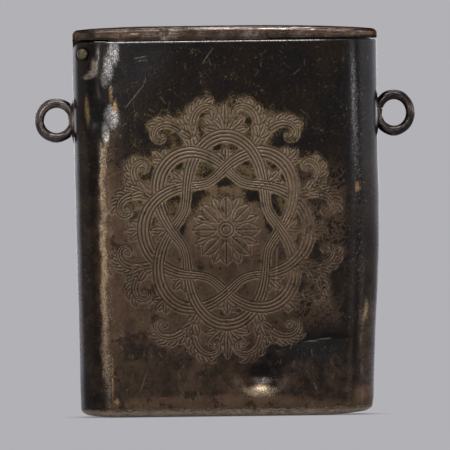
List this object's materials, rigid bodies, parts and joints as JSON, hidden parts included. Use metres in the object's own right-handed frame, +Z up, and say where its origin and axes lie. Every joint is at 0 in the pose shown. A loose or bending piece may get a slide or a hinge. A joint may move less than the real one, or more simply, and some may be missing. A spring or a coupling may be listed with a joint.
{
  "type": "vesta case",
  "caption": "Flat pocket match case with rounded corners, a snap lid hinged at one end of its mouth, chain loops on the narrow sides and a ribbed striker underneath.",
  "frame": {"origin": "on the table under the middle of the base", "axes": "+Z up towards the lid, +X to the right as seen from the front, front towards -Y"},
  "size_m": [0.0488, 0.011, 0.05],
  "materials": {
    "body_silver": "dark tarnished silver",
    "lid_silver": "dark tarnished silver",
    "striker_silver": "worn silver ribs",
    "inner_silver": "dull silver",
    "pin_brass": "dull brass",
    "spring_steel": "blued spring steel",
    "loop_silver": "rubbed dark silver",
    "loop_solder": "brown solder"
  },
  "bodies": {
    "case": {"body_shell": "body_silver", "base_pan": "body_silver", "striker_plate": "striker_silver", "mouth_collar": "inner_silver", "hinge_pin": "pin_brass", "lid_spring": "spring_steel", "spring_rivets": "spring_steel", "left_loop_ring": "loop_silver", "left_loop_saddle": "loop_solder", "right_loop_ring": "loop_silver", "right_loop_saddle": "loop_solder"},
    "lid": {"lid_cap": "lid_silver", "hinge_knuckle": "inner_silver"}
  },
  "joints": [
    {"name": "lid_hinge", "type": "hinge", "parent": "case", "child": "lid", "pos_m": [-0.01803, 0, 0.04646], "axis": [0, -1, 0], "range_deg": [0, 90], "deforming": ["lid_spring"]}
  ]
}
